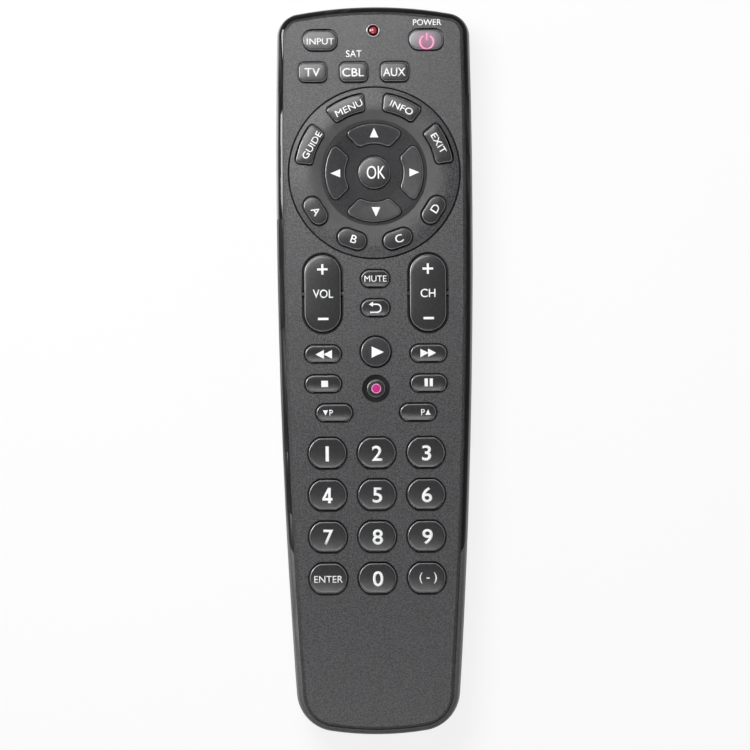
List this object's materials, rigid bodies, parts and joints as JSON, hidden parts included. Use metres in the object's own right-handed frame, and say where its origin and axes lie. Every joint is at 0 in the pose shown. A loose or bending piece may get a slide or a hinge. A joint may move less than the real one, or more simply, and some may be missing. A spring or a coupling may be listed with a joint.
{
  "type": "satellite receiver remote control",
  "caption": "Slim hand-held infrared remote with a dished round arrow pad, two rocker keys, rows of moulded keys, a gloss side band and a sliding battery cover.",
  "frame": {"origin": "under the middle of the handset, on the plane that it rests on when it lies on its back", "axes": "+Y along the handset to its head, where the infrared window is; +Z out of the key face; +X to the right seen from the key face"},
  "size_m": [0.0582, 0.216, 0.0273],
  "materials": {
    "face_plastic": "charcoal, fine spark-eroded grain",
    "shell_plastic": "charcoal, satin moulded",
    "gloss_trim": "piano black",
    "infrared_window": "very dark red, see-through to infrared",
    "key_plastic": "dark grey, semi-gloss, white legends",
    "mat_rubber": "silicone",
    "board_laminate": "green solder mask",
    "chip_plastic": "moulded epoxy",
    "can_metal": "drawn can",
    "lamp_red": "clear red epoxy",
    "lamp_dark": "smoky clear epoxy",
    "cell_jacket": "printed sleeve, plain",
    "contact_metal": "nickel-plated spring steel",
    "screw_metal": "blackened steel"
  },
  "bodies": {
    "housing": {"top_cover": "face_plastic", "bottom_cover": "shell_plastic", "gloss_band": "gloss_trim", "ir_window": "infrared_window", "circuit_board": "board_laminate", "keypad_mat": "mat_rubber", "ir_emitters": "lamp_dark", "indicator_led": "lamp_red", "control_chip": "chip_plastic", "oscillator": "can_metal", "capacitor": "can_metal", "battery_1": "cell_jacket", "battery_2": "cell_jacket", "positive_contact": "contact_metal", "negative_contact": "contact_metal", "bridge_contact": "contact_metal", "case_screws": "screw_metal"},
    "input_key": {"input_key": "key_plastic"},
    "power_key": {"power_key": "key_plastic"},
    "device_key_1": {"device_key_1": "key_plastic"},
    "device_key_2": {"device_key_2": "key_plastic"},
    "device_key_3": {"device_key_3": "key_plastic"},
    "up_key": {"up_key": "key_plastic"},
    "left_key": {"left_key": "key_plastic"},
    "down_key": {"down_key": "key_plastic"},
    "right_key": {"right_key": "key_plastic"},
    "ok_key": {"ok_key": "key_plastic"},
    "menu_key": {"menu_key": "key_plastic"},
    "info_key": {"info_key": "key_plastic"},
    "guide_key": {"guide_key": "key_plastic"},
    "exit_key": {"exit_key": "key_plastic"},
    "a_key": {"a_key": "key_plastic"},
    "b_key": {"b_key": "key_plastic"},
    "c_key": {"c_key": "key_plastic"},
    "d_key": {"d_key": "key_plastic"},
    "mute_key": {"mute_key": "key_plastic"},
    "return_key": {"return_key": "key_plastic"},
    "play_key": {"play_key": "key_plastic"},
    "record_key": {"record_key": "key_plastic"},
    "rewind_key": {"rewind_key": "key_plastic"},
    "forward_key": {"forward_key": "key_plastic"},
    "stop_key": {"stop_key": "key_plastic"},
    "pause_key": {"pause_key": "key_plastic"},
    "page_down_key": {"page_down_key": "key_plastic"},
    "page_up_key": {"page_up_key": "key_plastic"},
    "digit_key_1": {"digit_key_1": "key_plastic"},
    "digit_key_2": {"digit_key_2": "key_plastic"},
    "digit_key_3": {"digit_key_3": "key_plastic"},
    "digit_key_4": {"digit_key_4": "key_plastic"},
    "digit_key_5": {"digit_key_5": "key_plastic"},
    "digit_key_6": {"digit_key_6": "key_plastic"},
    "digit_key_7": {"digit_key_7": "key_plastic"},
    "digit_key_8": {"digit_key_8": "key_plastic"},
    "digit_key_9": {"digit_key_9": "key_plastic"},
    "enter_key": {"enter_key": "key_plastic"},
    "digit_key_0": {"digit_key_0": "key_plastic"},
    "dash_key": {"dash_key": "key_plastic"},
    "volume_rocker": {"volume_rocker": "key_plastic"},
    "channel_rocker": {"channel_rocker": "key_plastic"},
    "battery_cover": {"battery_cover": "shell_plastic"}
  },
  "joints": [
    {"name": "input_key_press", "type": "slide", "parent": "housing", "child": "input_key", "axis": [0, 0, -1], "range_m": [0, 0.001], "stiffness_N_per_m": 900, "springref_m": -0.0008, "deforming": ["keypad_mat"]},
    {"name": "power_key_press", "type": "slide", "parent": "housing", "child": "power_key", "axis": [0, 0, -1], "range_m": [0, 0.001], "stiffness_N_per_m": 900, "springref_m": -0.0008, "deforming": ["keypad_mat"]},
    {"name": "device_key_1_press", "type": "slide", "parent": "housing", "child": "device_key_1", "axis": [0, 0, -1], "range_m": [0, 0.001], "stiffness_N_per_m": 900, "springref_m": -0.0008, "deforming": ["keypad_mat"]},
    {"name": "device_key_2_press", "type": "slide", "parent": "housing", "child": "device_key_2", "axis": [0, 0, -1], "range_m": [0, 0.001], "stiffness_N_per_m": 900, "springref_m": -0.0008, "deforming": ["keypad_mat"]},
    {"name": "device_key_3_press", "type": "slide", "parent": "housing", "child": "device_key_3", "axis": [0, 0, -1], "range_m": [0, 0.001], "stiffness_N_per_m": 900, "springref_m": -0.0008, "deforming": ["keypad_mat"]},
    {"name": "up_key_press", "type": "slide", "parent": "housing", "child": "up_key", "axis": [0, 0, -1], "range_m": [0, 0.001], "stiffness_N_per_m": 900, "springref_m": -0.0008, "deforming": ["keypad_mat"]},
    {"name": "left_key_press", "type": "slide", "parent": "housing", "child": "left_key", "axis": [0, 0, -1], "range_m": [0, 0.001], "stiffness_N_per_m": 900, "springref_m": -0.0008, "deforming": ["keypad_mat"]},
    {"name": "down_key_press", "type": "slide", "parent": "housing", "child": "down_key", "axis": [0, 0, -1], "range_m": [0, 0.001], "stiffness_N_per_m": 900, "springref_m": -0.0008, "deforming": ["keypad_mat"]},
    {"name": "right_key_press", "type": "slide", "parent": "housing", "child": "right_key", "axis": [0, 0, -1], "range_m": [0, 0.001], "stiffness_N_per_m": 900, "springref_m": -0.0008, "deforming": ["keypad_mat"]},
    {"name": "ok_key_press", "type": "slide", "parent": "housing", "child": "ok_key", "axis": [0, 0, -1], "range_m": [0, 0.001], "stiffness_N_per_m": 900, "springref_m": -0.0008, "deforming": ["keypad_mat"]},
    {"name": "menu_key_press", "type": "slide", "parent": "housing", "child": "menu_key", "axis": [0, 0, -1], "range_m": [0, 0.001], "stiffness_N_per_m": 900, "springref_m": -0.0008, "deforming": ["keypad_mat"]},
    {"name": "info_key_press", "type": "slide", "parent": "housing", "child": "info_key", "axis": [0, 0, -1], "range_m": [0, 0.001], "stiffness_N_per_m": 900, "springref_m": -0.0008, "deforming": ["keypad_mat"]},
    {"name": "guide_key_press", "type": "slide", "parent": "housing", "child": "guide_key", "axis": [0, 0, -1], "range_m": [0, 0.001], "stiffness_N_per_m": 900, "springref_m": -0.0008, "deforming": ["keypad_mat"]},
    {"name": "exit_key_press", "type": "slide", "parent": "housing", "child": "exit_key", "axis": [0, 0, -1], "range_m": [0, 0.001], "stiffness_N_per_m": 900, "springref_m": -0.0008, "deforming": ["keypad_mat"]},
    {"name": "a_key_press", "type": "slide", "parent": "housing", "child": "a_key", "axis": [0, 0, -1], "range_m": [0, 0.001], "stiffness_N_per_m": 900, "springref_m": -0.0008, "deforming": ["keypad_mat"]},
    {"name": "b_key_press", "type": "slide", "parent": "housing", "child": "b_key", "axis": [0, 0, -1], "range_m": [0, 0.001], "stiffness_N_per_m": 900, "springref_m": -0.0008, "deforming": ["keypad_mat"]},
    {"name": "c_key_press", "type": "slide", "parent": "housing", "child": "c_key", "axis": [0, 0, -1], "range_m": [0, 0.001], "stiffness_N_per_m": 900, "springref_m": -0.0008, "deforming": ["keypad_mat"]},
    {"name": "d_key_press", "type": "slide", "parent": "housing", "child": "d_key", "axis": [0, 0, -1], "range_m": [0, 0.001], "stiffness_N_per_m": 900, "springref_m": -0.0008, "deforming": ["keypad_mat"]},
    {"name": "mute_key_press", "type": "slide", "parent": "housing", "child": "mute_key", "axis": [0, 0, -1], "range_m": [0, 0.001], "stiffness_N_per_m": 900, "springref_m": -0.0008, "deforming": ["keypad_mat"]},
    {"name": "return_key_press", "type": "slide", "parent": "housing", "child": "return_key", "axis": [0, 0, -1], "range_m": [0, 0.001], "stiffness_N_per_m": 900, "springref_m": -0.0008, "deforming": ["keypad_mat"]},
    {"name": "play_key_press", "type": "slide", "parent": "housing", "child": "play_key", "axis": [0, 0, -1], "range_m": [0, 0.001], "stiffness_N_per_m": 900, "springref_m": -0.0008, "deforming": ["keypad_mat"]},
    {"name": "record_key_press", "type": "slide", "parent": "housing", "child": "record_key", "axis": [0, 0, -1], "range_m": [0, 0.001], "stiffness_N_per_m": 900, "springref_m": -0.0008, "deforming": ["keypad_mat"]},
    {"name": "rewind_key_press", "type": "slide", "parent": "housing", "child": "rewind_key", "axis": [0, 0, -1], "range_m": [0, 0.001], "stiffness_N_per_m": 900, "springref_m": -0.0008, "deforming": ["keypad_mat"]},
    {"name": "forward_key_press", "type": "slide", "parent": "housing", "child": "forward_key", "axis": [0, 0, -1], "range_m": [0, 0.001], "stiffness_N_per_m": 900, "springref_m": -0.0008, "deforming": ["keypad_mat"]},
    {"name": "stop_key_press", "type": "slide", "parent": "housing", "child": "stop_key", "axis": [0, 0, -1], "range_m": [0, 0.001], "stiffness_N_per_m": 900, "springref_m": -0.0008, "deforming": ["keypad_mat"]},
    {"name": "pause_key_press", "type": "slide", "parent": "housing", "child": "pause_key", "axis": [0, 0, -1], "range_m": [0, 0.001], "stiffness_N_per_m": 900, "springref_m": -0.0008, "deforming": ["keypad_mat"]},
    {"name": "page_down_key_press", "type": "slide", "parent": "housing", "child": "page_down_key", "axis": [0, 0, -1], "range_m": [0, 0.001], "stiffness_N_per_m": 900, "springref_m": -0.0008, "deforming": ["keypad_mat"]},
    {"name": "page_up_key_press", "type": "slide", "parent": "housing", "child": "page_up_key", "axis": [0, 0, -1], "range_m": [0, 0.001], "stiffness_N_per_m": 900, "springref_m": -0.0008, "deforming": ["keypad_mat"]},
    {"name": "digit_key_1_press", "type": "slide", "parent": "housing", "child": "digit_key_1", "axis": [0, 0, -1], "range_m": [0, 0.001], "stiffness_N_per_m": 900, "springref_m": -0.0008, "deforming": ["keypad_mat"]},
    {"name": "digit_key_2_press", "type": "slide", "parent": "housing", "child": "digit_key_2", "axis": [0, 0, -1], "range_m": [0, 0.001], "stiffness_N_per_m": 900, "springref_m": -0.0008, "deforming": ["keypad_mat"]},
    {"name": "digit_key_3_press", "type": "slide", "parent": "housing", "child": "digit_key_3", "axis": [0, 0, -1], "range_m": [0, 0.001], "stiffness_N_per_m": 900, "springref_m": -0.0008, "deforming": ["keypad_mat"]},
    {"name": "digit_key_4_press", "type": "slide", "parent": "housing", "child": "digit_key_4", "axis": [0, 0, -1], "range_m": [0, 0.001], "stiffness_N_per_m": 900, "springref_m": -0.0008, "deforming": ["keypad_mat"]},
    {"name": "digit_key_5_press", "type": "slide", "parent": "housing", "child": "digit_key_5", "axis": [0, 0, -1], "range_m": [0, 0.001], "stiffness_N_per_m": 900, "springref_m": -0.0008, "deforming": ["keypad_mat"]},
    {"name": "digit_key_6_press", "type": "slide", "parent": "housing", "child": "digit_key_6", "axis": [0, 0, -1], "range_m": [0, 0.001], "stiffness_N_per_m": 900, "springref_m": -0.0008, "deforming": ["keypad_mat"]},
    {"name": "digit_key_7_press", "type": "slide", "parent": "housing", "child": "digit_key_7", "axis": [0, 0, -1], "range_m": [0, 0.001], "stiffness_N_per_m": 900, "springref_m": -0.0008, "deforming": ["keypad_mat"]},
    {"name": "digit_key_8_press", "type": "slide", "parent": "housing", "child": "digit_key_8", "axis": [0, 0, -1], "range_m": [0, 0.001], "stiffness_N_per_m": 900, "springref_m": -0.0008, "deforming": ["keypad_mat"]},
    {"name": "digit_key_9_press", "type": "slide", "parent": "housing", "child": "digit_key_9", "axis": [0, 0, -1], "range_m": [0, 0.001], "stiffness_N_per_m": 900, "springref_m": -0.0008, "deforming": ["keypad_mat"]},
    {"name": "enter_key_press", "type": "slide", "parent": "housing", "child": "enter_key", "axis": [0, 0, -1], "range_m": [0, 0.001], "stiffness_N_per_m": 900, "springref_m": -0.0008, "deforming": ["keypad_mat"]},
    {"name": "digit_key_0_press", "type": "slide", "parent": "housing", "child": "digit_key_0", "axis": [0, 0, -1], "range_m": [0, 0.001], "stiffness_N_per_m": 900, "springref_m": -0.0008, "deforming": ["keypad_mat"]},
    {"name": "dash_key_press", "type": "slide", "parent": "housing", "child": "dash_key", "axis": [0, 0, -1], "range_m": [0, 0.001], "stiffness_N_per_m": 900, "springref_m": -0.0008, "deforming": ["keypad_mat"]},
    {"name": "volume_rocker_tilt", "type": "hinge", "parent": "housing", "child": "volume_rocker", "pos_m": [-0.0157, 0.0231, 0.0229], "axis": [1, 0, 0], "range_deg": [-3.5, 3.5], "stiffness_Nm_per_rad": 0.25, "deforming": ["keypad_mat"]},
    {"name": "channel_rocker_tilt", "type": "hinge", "parent": "housing", "child": "channel_rocker", "pos_m": [0.0157, 0.0231, 0.0229], "axis": [1, 0, 0], "range_deg": [-3.5, 3.5], "stiffness_Nm_per_rad": 0.25, "deforming": ["keypad_mat"]},
    {"name": "battery_cover_slide", "type": "slide", "parent": "housing", "child": "battery_cover", "axis": [0, -1, 0], "range_m": [0, 0.079]}
  ]
}
